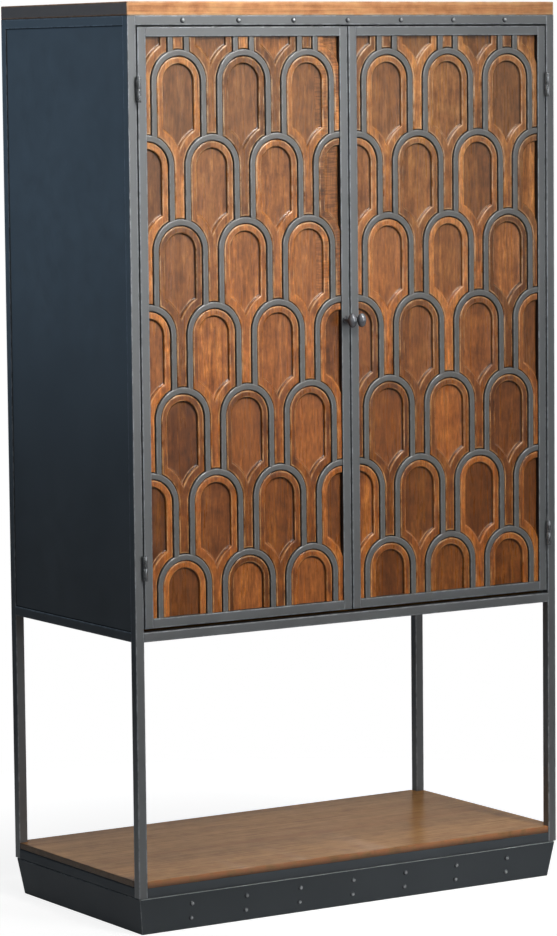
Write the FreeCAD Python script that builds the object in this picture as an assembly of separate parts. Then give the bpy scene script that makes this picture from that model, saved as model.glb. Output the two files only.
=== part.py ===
import FreeCAD, Part
import math
import os

from FreeCAD import Vector

# Overall size of the cabinet in millimetres, from the floor to the top board
overall_width = 1016.0
overall_depth = 508.0
overall_height = 1829.0

# Square steel tube of the cabinet frame and of the door frames
tube = 19.0
tube_wall = 1.5

# Underside of the rails that carry the cabinet above the open bay
bay_ceiling = 584.0

# Wooden boards
top_thickness = 27.0
top_edge_radius = 2.0
base_shelf_thickness = 14.0
inner_shelf_thickness = 18.0
inner_shelf_count = 2
inner_shelf_setback = 6.0
board_clearance = 0.5

# Sheet steel of the sides and the back, set in from the outside of the frame
sheet = 1.2
sheet_setback = 1.5

# Tapered sheet plinth, with a shadow gap between it and the frame
plinth_height = 76.0
plinth_reveal = 2.0
plinth_inset = 2.5
plinth_taper = 11.0
plinth_sheet = 2.0
plinth_flange = 18.0
corner_plate_side = 70.0
corner_plate_inset = 6.0

# Lugs under the cabinet floor, cleats under the inner shelves
lug_thickness = 3.0
lug_length = 40.0
lug_reach = 22.0
cleat_leg = 20.0
cleat_thickness = 2.0

# Rails for hanging stemware
stem_spacing = 115.0
stem_slat_width = 46.0
stem_slat_thickness = 3.0
stem_hanger_thickness = 3.0
stem_drop = 34.0
stem_end_gap = 24.0

# Gaps round the doors
door_gap = 3.0
door_foot_gap = 7.0
meeting_gap = 3.0

# Arches of the door grille: flat bars, each row shifted by half an arch
arches_across = 3
arch_neck = 24.8
arch_bar = 12.0
arch_leg = 102.2
first_crown_drop = 25.0
arc_facet = 17.0
grille_setback = 1.5
grille_thickness = 4.0

# Carved wooden panel behind the grille
panel_thickness = 12.0
pocket_depth = 3.5
pocket_border = 15.0
pocket_foot_border = 18.5
clip_length = 25.0
clip_reach = 14.0
clips_per_stile = 3

# Barrel hinges: lower half on the post, upper half on the door
hinge_length = 50.0
hinge_inset = 120.0
barrel_diameter = 10.0
barrel_stand_off = 0.2
barrel_cap = 3.5
fin_thickness = 1.2
fin_depth = 12.0
pin_diameter = 5.0
pin_running_clearance = 0.05
pin_seat_clearance = 0.02
barrel_split = 0.3

# Oval knobs
knob_reach = 34.5
knob_width = 19.0
knob_height = 29.0
knob_neck_diameter = 9.0
knob_base_diameter = 15.0
knob_base_thickness = 2.5
knob_sides = 16
knob_rings = 8

# Magnetic catches under the front top rail
catch_width = 30.0
catch_depth = 16.0
catch_above = 10.0
catch_below = 18.0
catch_offset = 20.0
strike_thickness = 1.2
strike_width = 26.0
strike_margin = 2.0
strike_gap = 0.3

# Dome rivets
rivet_diameter = 11.0
rivet_height = 4.5
rivet_spacing = 128.0
rivet_count = 7
rivet_sides = 8
lower_rivet_row = 22.0
upper_rivet_row = 52.0

# The box round everything, knobs included, is centred on the origin
half_width = overall_width / 2
y_front = (knob_reach - overall_depth) / 2
y_rear = y_front + overall_depth

# Inner faces of the posts
x_in = half_width - tube
y_front_in = y_front + tube
y_rear_in = y_rear - tube

# Levels of the frame
z_base = plinth_height
z_base_shelf = z_base + tube
z_bay = bay_ceiling
z_floor = z_bay + tube
z_top_board = overall_height - top_thickness
z_top_rail = z_top_board - tube

# Doors
door_low = z_floor + door_foot_gap
door_high = z_top_rail - door_gap
door_outer = x_in - door_gap
door_inner = meeting_gap / 2
opening_low = door_low + tube
opening_high = door_high - tube
opening_outer = door_outer - tube
opening_inner = door_inner + tube
opening_centre = (opening_outer + opening_inner) / 2
opening_width = opening_outer - opening_inner

# Arch pattern
arch_pitch = opening_width / arches_across
arch_outer = (arch_pitch - arch_neck) / 2
arch_inner = arch_outer - arch_bar
row_pitch = arch_outer + arch_leg
row_count = math.ceil((opening_high - opening_low - first_crown_drop) / row_pitch)
y_grille = y_front + grille_setback
y_panel = y_grille + grille_thickness
y_panel_back = y_panel + panel_thickness


def save(node, *solids):
    """Writes one node, a single solid or a group of separate ones."""
    shape = solids[0] if len(solids) == 1 else Part.makeCompound(list(solids))
    shape.exportStep(f"parts/{node}.step")


def block(x, y, z):
    """A box between two values along each axis, given in either order."""
    low = Vector(min(x), min(y), min(z))
    high = Vector(max(x), max(y), max(z))
    size = high - low
    return Part.makeBox(size.x, size.y, size.z, low)


def hollow_bar(x, y, z, along):
    """A length of the square tube, open at its two ends."""
    spans = {"x": (min(x), max(x)), "y": (min(y), max(y)), "z": (min(z), max(z))}
    bore = dict(spans)
    for axis, (low, high) in spans.items():
        if axis != along:
            bore[axis] = (low + tube_wall, high - tube_wall)
    outside = block(spans["x"], spans["y"], spans["z"])
    return outside.cut(block(bore["x"], bore["y"], bore["z"]))


def rod(start, direction, diameter, length):
    return Part.makeCylinder(diameter / 2, length, start, direction)


def polygon_face(points):
    return Part.Face(Part.makePolygon(points + [points[0]]))


def ring(radius, z, sides):
    """Corners of a regular polygon round the Z axis."""
    turns = [2 * math.pi * number / sides for number in range(sides)]
    return [Vector(radius * math.cos(turn), radius * math.sin(turn), z) for turn in turns]


def flat_sided(sections):
    """A solid with flat faces between sections that have the same number of corners."""
    faces = [polygon_face(sections[0]), polygon_face(sections[-1])]
    for near, far in zip(sections, sections[1:]):
        for corner in range(len(near)):
            last = corner - 1
            faces.append(polygon_face([near[last], near[corner], far[corner], far[last]]))
    solid = Part.Solid(Part.Shell(faces))
    if solid.Volume < 0:
        solid.reverse()
    return solid


def sweep(x, z, radius, start, end):
    """Points along an arc in the door's plane, from one angle to another, in short straight facets."""
    steps = math.ceil(abs(end - start) / math.radians(arc_facet) - 1e-6)
    angles = [start + (end - start) * step / steps for step in range(steps + 1)]
    return [Vector(x + radius * math.cos(angle), 0, z + radius * math.sin(angle)) for angle in angles]


def height_on(radius, offset):
    """Height of a circle above its centre, at a distance to the side."""
    return math.sqrt(radius**2 - offset**2)


def make_frame():
    """Four posts with rails between them at three levels."""
    post_x = {"left": (-half_width, -x_in), "right": (x_in, half_width)}
    post_y = {"front": (y_front, y_front_in), "rear": (y_rear_in, y_rear)}
    levels = {"lower": z_base, "mid": z_bay, "top": z_top_rail}
    for end, y in post_y.items():
        for side, x in post_x.items():
            save(f"{end}_{side}_post", hollow_bar(x, y, (z_base, z_top_board), "z"))
    for level, z in levels.items():
        for end, y in post_y.items():
            save(f"{end}_{level}_rail", hollow_bar((-x_in, x_in), y, (z, z + tube), "x"))
        for side, x in post_x.items():
            save(f"{side}_{level}_rail", hollow_bar(x, (y_front_in, y_rear_in), (z, z + tube), "y"))


def make_boards():
    """The top, the bay's shelf notched round the posts, and the cabinet floor let into its rails."""
    top = block((-half_width, half_width), (y_front, y_rear), (z_top_board, overall_height))
    rim = [edge for edge in top.Edges if edge.BoundBox.ZMin > overall_height - top_edge_radius]
    save("top_board", top.makeFillet(top_edge_radius, rim))

    z_shelf = (z_base_shelf, z_base_shelf + base_shelf_thickness)
    shelf = block((-half_width, half_width), (y_front, y_rear), z_shelf)
    notch = tube + board_clearance
    for x in (-half_width, half_width - notch):
        for y in (y_front, y_rear - notch):
            shelf = shelf.cut(block((x, x + notch), (y, y + notch), z_shelf))
    save("bay_shelf", shelf)

    x_edge = x_in - board_clearance
    y_edges = (y_front_in + board_clearance, y_rear_in - board_clearance)
    floor_low = z_bay + lug_thickness
    save("cabinet_floor", block((-x_edge, x_edge), y_edges, (floor_low, z_floor)))
    save("floor_lugs", *floor_lugs(z_bay, floor_low))


def floor_lugs(z_low, z_high):
    """Short plates welded inside the middle rails, flush with their underside."""
    lugs = []
    y_middle = (y_front + y_rear) / 2
    for x in (-x_in / 2, 0.0, x_in / 2):
        ends = (x - lug_length / 2, x + lug_length / 2)
        lugs.append(block(ends, (y_front_in, y_front_in + lug_reach), (z_low, z_high)))
        lugs.append(block(ends, (y_rear_in, y_rear_in - lug_reach), (z_low, z_high)))
    for side in (-1, 1):
        ends = (y_middle - lug_length / 2, y_middle + lug_length / 2)
        lugs.append(block((side * x_in, side * (x_in - lug_reach)), ends, (z_low, z_high)))
    return lugs


def make_sheets():
    """Side and back sheets, let in between posts and rails."""
    z = (z_floor, z_top_rail)
    outer = half_width - sheet_setback
    for name, side in (("left", -1), ("right", 1)):
        x = (side * outer, side * (outer - sheet))
        save(f"{name}_side_panel", block(x, (y_front_in, y_rear_in), z))
    y_outer = y_rear - sheet_setback
    save("back_panel", block((-x_in, x_in), (y_outer - sheet, y_outer), z))


def make_inner_shelves():
    """Shelves between the side sheets, each on two angle cleats that run from post to post."""
    x_wall = half_width - sheet_setback - sheet
    x_edge = x_wall - board_clearance
    y = (y_front_in + inner_shelf_setback, y_rear_in - board_clearance)
    spacing = (z_top_rail - z_floor) / (inner_shelf_count + 1)
    run = Vector(0, y_rear_in - y_front_in, 0)
    cleats = []
    for number in range(1, inner_shelf_count + 1):
        z = z_floor + number * spacing
        shelf = block((-x_edge, x_edge), y, (z, z + inner_shelf_thickness))
        save(f"inner_shelf_{number}", shelf)
        for side in (-1, 1):
            legs = [
                (x_wall, z),
                (x_wall - cleat_leg, z),
                (x_wall - cleat_leg, z - cleat_thickness),
                (x_wall - cleat_thickness, z - cleat_thickness),
                (x_wall - cleat_thickness, z - cleat_leg),
                (x_wall, z - cleat_leg),
            ]
            section = polygon_face([Vector(side * x, y_front_in, height) for x, height in legs])
            cleats.append(section.extrude(run))
    save("shelf_cleats", *cleats)


def make_stemware_rails():
    """Flat slats held below the top board by upright strips, glass feet slide in between them."""
    count = int(2 * x_in // stem_spacing)
    y = (y_front_in + stem_end_gap, y_rear_in - stem_end_gap)
    z_slat = z_top_board - stem_drop
    slats = []
    hangers = []
    for number in range(count):
        x = (number - (count - 1) / 2) * stem_spacing
        strip = (x - stem_hanger_thickness / 2, x + stem_hanger_thickness / 2)
        slat = (x - stem_slat_width / 2, x + stem_slat_width / 2)
        hangers.append(block(strip, y, (z_slat, z_top_board)))
        slats.append(block(slat, y, (z_slat - stem_slat_thickness, z_slat)))
    save("stemware_slats", *slats)
    save("stemware_hangers", *hangers)


def make_catches():
    """Magnetic catches behind the front top rail, they stop the doors as well."""
    face = y_front_in + strike_thickness + strike_gap
    profile = [
        (y_front_in, z_top_rail + catch_above),
        (y_front_in + catch_depth, z_top_rail + catch_above),
        (y_front_in + catch_depth, z_top_rail - catch_below),
        (face, z_top_rail - catch_below),
        (face, z_top_rail),
        (y_front_in, z_top_rail),
    ]
    catches = []
    for side in (-1, 1):
        x = side * catch_offset - catch_width / 2
        section = polygon_face([Vector(x, y, z) for y, z in profile])
        catches.append(section.extrude(Vector(catch_width, 0, 0)))
    save("door_catches", *catches)


plinth_top = z_base - plinth_reveal


def plinth_depth(z):
    """How far the plinth's outer face lies inside the frame's outline at a height."""
    return plinth_inset + plinth_taper * (1 - z / plinth_top)


def plinth_corner(x_side, y_side):
    """The channel section of the plinth, cut on the mitre at one corner."""
    t = plinth_sheet
    section = [
        (plinth_depth(plinth_top), plinth_top),
        (plinth_depth(0), 0.0),
        (plinth_depth(0) + plinth_flange, 0.0),
        (plinth_depth(0) + plinth_flange, t),
        (plinth_depth(t) + t, t),
        (plinth_depth(plinth_top - t) + t, plinth_top - t),
        (plinth_depth(plinth_top) + plinth_flange, plinth_top - t),
        (plinth_depth(plinth_top) + plinth_flange, plinth_top),
    ]
    y_edge = y_front if y_side < 0 else y_rear
    return [Vector(x_side * (half_width - d), y_edge - y_side * d, z) for d, z in section]


def make_plinth():
    """Four tapered channels mitred at the corners, with plates between them and the frame."""
    corners = {
        "front": (plinth_corner(-1, -1), plinth_corner(1, -1)),
        "rear": (plinth_corner(-1, 1), plinth_corner(1, 1)),
        "left": (plinth_corner(-1, -1), plinth_corner(-1, 1)),
        "right": (plinth_corner(1, -1), plinth_corner(1, 1)),
    }
    for side, ends in corners.items():
        save(f"plinth_{side}", flat_sided(ends))
    plates = []
    for x_side in (-1, 1):
        for y_edge, inward in ((y_front, 1), (y_rear, -1)):
            x = x_side * (half_width - corner_plate_inset)
            y = y_edge + inward * corner_plate_inset
            spans = (x, x - x_side * corner_plate_side), (y, y + inward * corner_plate_side)
            plates.append(block(*spans, (plinth_top, z_base)))
    save("corner_plates", *plates)


def dome(seat, outward):
    """A rivet's domed head, seated on a face."""
    ball = (rivet_diameter**2 / 4 + rivet_height**2) / (2 * rivet_height)
    levels = [rivet_height * share for share in (0.0, 0.6, 0.95)]
    radii = [height_on(ball, ball - rivet_height + level) for level in levels]
    rings = [ring(radius, level, rivet_sides) for radius, level in zip(radii, levels)]
    head = flat_sided(rings)
    head.Placement = FreeCAD.Placement(seat, FreeCAD.Rotation(Vector(0, 0, 1), outward))
    return head


def make_rivets():
    """A row of rivets on the front top rail, and pairs of them on the plinth's front."""
    xs = [(number - (rivet_count - 1) / 2) * rivet_spacing for number in range(rivet_count)]
    z_rail = z_top_rail + tube / 2
    save("top_rail_rivets", *[dome(Vector(x, y_front, z_rail), Vector(0, -1, 0)) for x in xs])
    outward = Vector(0, -plinth_top, -plinth_taper).normalize()
    heads = []
    for z in (lower_rivet_row, upper_rivet_row):
        heads += [dome(Vector(x, y_front + plinth_depth(z), z), outward) for x in xs]
    save("plinth_rivets", *heads)


def arch_cell(centre, spring):
    """The hole inside one arch of the grille, down to the crowns of the rows below."""
    half = arch_pitch / 2
    below = spring - row_pitch
    foot = math.acos((arch_inner - half) / arch_outer)
    crown = math.acos(arch_neck / 2 / arch_outer)
    return polygon_face(
        sweep(centre, spring, arch_inner, math.pi, 0)
        + sweep(centre + half, below, arch_outer, foot, math.pi)
        + sweep(centre, below - row_pitch, arch_outer, crown, math.pi - crown)
        + sweep(centre - half, below, arch_outer, 0, math.pi - foot)
    )


def arch_pocket(centre, spring):
    """The outline carved inside one arch, pointed at its foot."""
    half = arch_pitch / 2
    below = spring - row_pitch
    width = arch_inner - pocket_border
    radius = arch_outer + pocket_foot_border
    shoulder = math.acos((width - half) / radius)
    tip = math.acos(-half / radius)
    return polygon_face(
        sweep(centre, spring, width, math.pi, 0)
        + sweep(centre + half, below, radius, shoulder, tip)
        + sweep(centre - half, below, radius, math.pi - tip, math.pi - shoulder)[1:]
    )


def arch_places(first_row, door_centre):
    """Centre and spring line of each arch, rows shifted by half an arch in turn."""
    places = []
    for row in range(first_row, row_count + 1):
        spring = opening_high - first_crown_drop - (row - 1) * row_pitch - arch_outer
        across = arches_across if row % 2 else arches_across + 1
        for column in range(across):
            places.append((door_centre + (column - (across - 1) / 2) * arch_pitch, spring))
    return places


def door_grille(side):
    """Flat bars bent into arches, the opening's rectangle with every arch cell cut out."""
    x = (side * opening_inner, side * opening_outer)
    outline = [
        Vector(x[0], 0, opening_low),
        Vector(x[1], 0, opening_low),
        Vector(x[1], 0, opening_high),
        Vector(x[0], 0, opening_high),
    ]
    cells = [arch_cell(*place) for place in arch_places(-1, side * opening_centre)]
    bars = polygon_face(outline).cut(cells)
    bars.translate(Vector(0, y_grille, 0))
    return bars.extrude(Vector(0, grille_thickness, 0)).Solids[0]


def door_panel(side):
    """A wooden board with a pocket carved inside every arch."""
    x = (side * (opening_inner + board_clearance), side * (opening_outer - board_clearance))
    z = (opening_low + board_clearance, opening_high - board_clearance)
    board = block(x, (y_panel, y_panel_back), z)
    pockets = []
    for place in arch_places(0, side * opening_centre):
        outline = arch_pocket(*place)
        outline.translate(Vector(0, y_panel, 0))
        pockets.append(outline.extrude(Vector(0, pocket_depth, 0)))
    return board.cut(pockets).Solids[0]


def panel_clips(side):
    """Small plates welded inside the door frame, behind the panel."""
    y = (y_panel_back, y_front + tube)
    clips = []
    step = (opening_high - opening_low) / clips_per_stile
    for number in range(clips_per_stile):
        middle = opening_low + (number + 0.5) * step
        z = (middle - clip_length / 2, middle + clip_length / 2)
        clips.append(block((side * opening_inner, side * (opening_inner + clip_reach)), y, z))
        clips.append(block((side * opening_outer, side * (opening_outer - clip_reach)), y, z))
    x = (side * opening_centre - clip_length / 2, side * opening_centre + clip_length / 2)
    clips.append(block(x, y, (opening_low, opening_low + clip_reach)))
    clips.append(block(x, y, (opening_high, opening_high - clip_reach)))
    return clips


def door_knob(side):
    """An egg-shaped head on a neck, turned in one piece with its base."""
    x = side * (door_inner + tube / 2)
    z = (door_low + door_high) / 2
    y_head = y_front - knob_reach + knob_width / 2
    turns = [math.pi * (step + 0.5) / knob_rings for step in range(knob_rings)]
    rings = []
    for turn in turns:
        rings.append(ring(knob_width / 2 * math.sin(turn), -knob_height / 2 * math.cos(turn), knob_sides))
    head = flat_sided(rings)
    head.translate(Vector(x, y_head, z))
    forward = FreeCAD.Rotation(Vector(0, 0, 1), Vector(0, -1, 0))
    neck = polygon_face(ring(knob_neck_diameter / 2, 0, knob_sides))
    neck = neck.extrude(Vector(0, 0, y_front - y_head))
    base = polygon_face(ring(knob_base_diameter / 2, 0, knob_sides))
    base = base.extrude(Vector(0, 0, knob_base_thickness))
    for turned in (neck, base):
        turned.Placement = FreeCAD.Placement(Vector(x, y_front, z), forward)
    return head.fuse([neck, base]).Solids[0]


barrel_centre = x_in - door_gap / 2
y_barrel = y_front - barrel_diameter / 2 - barrel_stand_off
hinge_heights = (door_low + hinge_inset, door_high - hinge_inset)
up = Vector(0, 0, 1)


def barrel_half(side, z, x_fin, bore_diameter, bore_top):
    """Half of a barrel hinge, with a fin that lies in the gap beside the door."""
    foot = Vector(side * barrel_centre, y_barrel, z[0])
    barrel = rod(foot, up, barrel_diameter, z[1] - z[0])
    fin = block(x_fin, (y_barrel, y_front + fin_depth), z)
    return barrel.fuse(fin).cut(rod(foot, up, bore_diameter, bore_top - z[0]))


def frame_barrels():
    """The lower hinge halves, their fins welded to the posts."""
    halves = []
    bore = pin_diameter + 2 * pin_seat_clearance
    for side in (-1, 1):
        x_fin = (side * x_in, side * (x_in - fin_thickness))
        for height in hinge_heights:
            z = (height - hinge_length / 2, height - barrel_split / 2)
            halves.append(barrel_half(side, z, x_fin, bore, z[1]))
    return halves


def door_barrels(side):
    """The upper hinge halves of one door, closed at the top."""
    halves = []
    bore = pin_diameter + 2 * pin_running_clearance
    x_fin = (side * door_outer, side * (door_outer + fin_thickness))
    for height in hinge_heights:
        z = (height + barrel_split / 2, height + hinge_length / 2)
        halves.append(barrel_half(side, z, x_fin, bore, z[1] - barrel_cap))
    return halves


def hinge_pins():
    """Pins fixed in the lower halves, the doors lift off them."""
    pins = []
    length = hinge_length - barrel_cap - barrel_split
    for side in (-1, 1):
        for height in hinge_heights:
            foot = Vector(side * barrel_centre, y_barrel, height - hinge_length / 2)
            pins.append(rod(foot, up, pin_diameter, length))
    return pins


def make_door(name, side):
    """A tube frame with its grille, carved panel, knob, hinge halves and strike plate."""
    y = (y_front, y_front_in)
    z = (door_low, door_high)
    rail = (side * opening_inner, side * opening_outer)
    save(f"{name}_hinge_stile", hollow_bar((side * opening_outer, side * door_outer), y, z, "z"))
    save(f"{name}_meeting_stile", hollow_bar((side * door_inner, side * opening_inner), y, z, "z"))
    save(f"{name}_top_rail", hollow_bar(rail, y, (opening_high, door_high), "x"))
    save(f"{name}_bottom_rail", hollow_bar(rail, y, (door_low, opening_low), "x"))
    save(f"{name}_arch_grille", door_grille(side))
    save(f"{name}_carved_panel", door_panel(side))
    save(f"{name}_panel_clips", *panel_clips(side))
    save(f"{name}_knob", door_knob(side))
    save(f"{name}_hinge_barrels", *door_barrels(side))
    x = side * catch_offset
    strike = (x - strike_width / 2, x + strike_width / 2)
    y_strike = (y_front_in, y_front_in + strike_thickness)
    z_strike = (opening_high + strike_margin, door_high - strike_margin)
    save(f"{name}_strike_plate", block(strike, y_strike, z_strike))


os.makedirs("parts", exist_ok=True)
make_frame()
make_boards()
make_sheets()
make_inner_shelves()
make_stemware_rails()
make_catches()
make_plinth()
make_rivets()
save("frame_hinge_barrels", *frame_barrels())
save("hinge_pins", *hinge_pins())
make_door("left_door", -1)
make_door("right_door", 1)
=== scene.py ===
import math

import bmesh
import bpy
from mathutils import Matrix, Vector, noise
from mathutils.geometry import delaunay_2d_cdt


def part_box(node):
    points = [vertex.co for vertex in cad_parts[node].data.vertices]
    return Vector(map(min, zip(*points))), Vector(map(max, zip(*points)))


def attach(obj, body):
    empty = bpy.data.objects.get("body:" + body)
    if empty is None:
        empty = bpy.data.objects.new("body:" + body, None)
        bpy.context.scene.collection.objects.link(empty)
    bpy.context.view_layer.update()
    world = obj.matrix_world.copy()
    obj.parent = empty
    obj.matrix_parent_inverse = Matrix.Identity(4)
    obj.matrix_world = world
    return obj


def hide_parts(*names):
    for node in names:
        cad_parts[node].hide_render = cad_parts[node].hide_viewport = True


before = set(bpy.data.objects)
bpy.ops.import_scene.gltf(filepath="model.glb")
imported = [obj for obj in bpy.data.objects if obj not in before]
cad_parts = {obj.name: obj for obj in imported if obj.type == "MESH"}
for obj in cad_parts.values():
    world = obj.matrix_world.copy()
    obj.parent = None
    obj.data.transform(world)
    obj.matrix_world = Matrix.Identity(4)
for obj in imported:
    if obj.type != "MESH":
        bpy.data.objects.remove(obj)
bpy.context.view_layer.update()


# Plinth: four channels folded from sheet steel, leaning in towards the floor and welded at mitred
# corners. Charcoal paint, rubbed bright along its folds: wear where the top fold catches hands and
# brooms, and a painted highlight there too.
plinth_sides = ("plinth_front", "plinth_rear", "plinth_left", "plinth_right")
plinth_fold = 0.0009
mitre_slant = 0.3
worn_band = 0.0025
eased_angle = math.radians(25)
crease_angle = math.radians(38)
charcoal = (0.084, 0.094, 0.103)
rubbed_and_highlit_charcoal = (0.34, 0.36, 0.37)


def add(tree, kind, sockets=None, **settings):
    """Puts one node in a tree, with its settings, and values or links for its sockets."""
    made = tree.nodes.new(kind)
    for name, value in settings.items():
        setattr(made, name, value)
    for name, value in (sockets or {}).items():
        if isinstance(value, bpy.types.NodeSocket):
            tree.links.new(value, made.inputs[name])
        else:
            made.inputs[name].default_value = value
    return made


def reckon(tree, operation, *values):
    """One sum on numbers, given as values or as links."""
    return add(tree, "ShaderNodeMath", dict(enumerate(values)), operation=operation).outputs[0]


def blend(tree, share, first, second):
    """A colour between two others, given as four numbers or as links."""
    first_colour, second_colour = 6, 7
    sockets = {0: share, first_colour: first, second_colour: second}
    return add(tree, "ShaderNodeMix", sockets, data_type="RGBA").outputs[2]


def tint(colour, strength=1.0):
    """A colour or a grey, made lighter or darker, with the fourth number that sockets want."""
    colour = colour if isinstance(colour, tuple) else (colour, colour, colour)
    return tuple(strength * part for part in colour[:3]) + (1.0,)


def ramp(tree, share, *stops):
    """A colour that goes through the stops, each a position and a colour or a grey."""
    made = add(tree, "ShaderNodeValToRGB", {"Fac": share})
    band = made.color_ramp.elements
    while len(band) < len(stops):
        band.new(1.0)
    for element, (position, colour) in zip(band, stops):
        element.position = position
        element.color = tint(colour)
    return made.outputs["Color"]


def speckle(tree, place, scale, detail=3.0, roughness=0.55, distortion=0.0):
    """Soft random clouds, so many to the metre."""
    sockets = {"Vector": place, "Scale": scale, "Detail": detail, "Roughness": roughness}
    return add(tree, "ShaderNodeTexNoise", sockets | {"Distortion": distortion}).outputs["Fac"]


def mark(tree, name):
    """A value that the mesh carries at its corners, such as how worn an edge is."""
    return add(tree, "ShaderNodeAttribute", attribute_name=name).outputs["Fac"]


def cleared(holder):
    """The node tree of a material or a world, emptied."""
    holder.use_nodes = True
    holder.node_tree.nodes.clear()
    return holder.node_tree


def new_finish(name):
    """An empty finish: its node tree, the place on the object, and the surface itself."""
    material = bpy.data.materials.new(name)
    tree = cleared(material)
    place = add(tree, "ShaderNodeTexCoord").outputs["Object"]
    surface = add(tree, "ShaderNodeBsdfPrincipled")
    add(tree, "ShaderNodeOutputMaterial", {"Surface": surface.outputs["BSDF"]})
    return material, tree, place, surface


def lay_on(tree, surface, colour, roughness):
    """Gives a surface its colour and how rough it is."""
    tree.links.new(colour, surface.inputs["Base Color"])
    tree.links.new(roughness, surface.inputs["Roughness"])


def roughen(tree, surface, height, strength, distance):
    """Raises the surface a little where the height is greater."""
    sockets = {"Height": height, "Strength": strength, "Distance": distance}
    bump = add(tree, "ShaderNodeBump", sockets)
    tree.links.new(bump.outputs["Normal"], surface.inputs["Normal"])


def satin_paint(name, colour, rubbed, roughness=0.38, gloss=0.3, flake=0.62):
    """Metal-flake paint on steel: faint clouds, fine orange peel, and metal rubbed through at edges."""
    material, tree, place, surface = new_finish(name)
    cloud = speckle(tree, place, 6.0, detail=5.0)
    coat = ramp(tree, cloud, (0.3, tint(colour, 0.93)), (0.7, tint(colour, 1.07)))
    scuff = ramp(tree, speckle(tree, place, 70.0, detail=6.0), (0.4, 0.15), (0.62, 1.0))
    worn = reckon(tree, "MULTIPLY", mark(tree, "edge"), scuff)
    shown = blend(tree, worn, coat, tint(rubbed))
    # Painted shade: where the mesh's shade mark says, the paint is darkened almost to black.
    shown = blend(tree, mark(tree, "shade_and_grime"), shown, tint(colour, 0.1))
    smear = speckle(tree, place, 24.0, detail=4.0)
    lay_on(tree, surface, shown, ramp(tree, smear, (0.3, roughness - 0.03), (0.7, roughness + 0.04)))
    surface.inputs["Metallic"].default_value = flake
    surface.inputs["Specular IOR Level"].default_value = gloss
    roughen(tree, surface, speckle(tree, place, 900.0, detail=2.0), 0.12, 0.0004)
    return material


def eased_copy(node, ease, keep_sharp=lambda face: False):
    """A node's own shape with its edges eased, and a mark on the corners that wear."""
    made = bmesh.new()
    made.from_mesh(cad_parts[node].data)
    bmesh.ops.remove_doubles(made, verts=made.verts, dist=1e-6)
    bmesh.ops.dissolve_limit(made, angle_limit=math.radians(1), verts=made.verts, edges=made.edges)
    sharp = []
    for edge in made.edges:
        meets_sharp = any(keep_sharp(face) for face in edge.link_faces)
        if edge.is_manifold and not meets_sharp and edge.calc_face_angle() > eased_angle:
            sharp.append(edge)
    rounding = {"segments": 2, "profile": 0.5, "affect": "EDGES", "clamp_overlap": True}
    bmesh.ops.bevel(made, geom=sharp, offset=ease, **rounding)
    worn = made.verts.layers.float.new("edge")
    for corner in made.verts:
        corner[worn] = 1.0
    broad = [face for face in made.faces if face.calc_area() > (4 * worn_band) ** 2]
    bmesh.ops.inset_individual(made, faces=broad, thickness=worn_band)
    for face in broad:
        for corner in face.verts:
            corner[worn] = 0.0
    low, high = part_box(node)
    for corner in made.verts:
        corner.co = [min(max(corner.co[axis], low[axis]), high[axis]) for axis in range(3)]
    return made


def loose_piece(name, made):
    """A piece on the bench, from a finished mesh, that is not yet part of the object."""
    mesh = bpy.data.meshes.new(name)
    made.to_mesh(mesh)
    made.free()
    piece = bpy.data.objects.new(name, mesh)
    bpy.context.scene.collection.objects.link(piece)
    return piece


def settle(piece, body, finish, slot, *nodes):
    """Gives a piece its finish and smooth faces, and says what it moves with and stands for."""
    piece.data.materials.clear()
    piece.data.materials.append(finish)
    piece.data.polygons.foreach_set("use_smooth", [True] * len(piece.data.polygons))
    piece.data.set_sharp_from_angle(angle=crease_angle)
    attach(piece, body)
    if nodes:
        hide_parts(*nodes)


def fit(name, made, body, finish, slot, *nodes):
    """Makes a piece of the object from a finished mesh."""
    settle(loose_piece(name, made), body, finish, slot, *nodes)


def is_mitre(face):
    """Whether a face of the plinth is cut across for a corner."""
    return abs(face.normal.x) > mitre_slant and abs(face.normal.y) > mitre_slant


plinth_paint = satin_paint("plinth_paint", charcoal, rubbed_and_highlit_charcoal, roughness=0.5, gloss=0.2, flake=0.35)
for node in plinth_sides:
    sheet = eased_copy(node, plinth_fold, is_mitre)
    fit(f"{node}_sheet", sheet, "cabinet", plinth_paint, "plinth_paint", node)


# Plinth bead: a fine run of weld along the top edge of the plinth's front, under the frame. It stands
# a little proud and is painted pale grey all over, a painted highlight along the plinth's top edge.
bead_radius = 0.0007
bead_steps = 260
bead_ripple = 0.06
bead_ripple_scale = 90
bead_sides = 10
bead_inset = 0.002
bead_highlight_grey = (0.44, 0.46, 0.47)
bead_highlight_pale = (0.60, 0.62, 0.63)
plinth_low, plinth_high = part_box("plinth_front")
bead_length = plinth_high.x - plinth_low.x - 2 * bead_inset
bead_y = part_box("front_lower_rail")[0].y + bead_radius * 0.9
bead_z = plinth_high.z - bead_radius / 2


def arc(x, y, radius, start, end, steps):
    """Points along part of a circle."""
    angles = [start + (end - start) * step / steps for step in range(steps + 1)]
    return [(x + radius * math.cos(angle), y + radius * math.sin(angle)) for angle in angles]


def circle(x, y, radius, sides):
    """Points all round a circle."""
    return arc(x, y, radius, 0, 2 * math.pi, sides)[:-1]


def blank(*marks):
    """An empty mesh, and a layer of it for each mark that its corners carry."""
    made = bmesh.new()
    return [made] + [made.verts.layers.float.new(name) for name in marks]


def walls(made, rings):
    """Faces between each ring of corners and the next, where a ring may be a single point."""
    for near, far in zip(rings, rings[1:]):
        for side in range(max(len(near), len(far))):
            near_corners = near if len(near) == 1 else [near[side - 1], near[side]]
            far_corners = far if len(far) == 1 else [far[side], far[side - 1]]
            made.faces.new(near_corners + far_corners)


def close_up(made, rings):
    """A closed skin over rings of corners, flat at both ends."""
    walls(made, rings)
    made.faces.new(rings[0])
    made.faces.new(rings[-1])
    bmesh.ops.recalc_face_normals(made, faces=made.faces)


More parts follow.
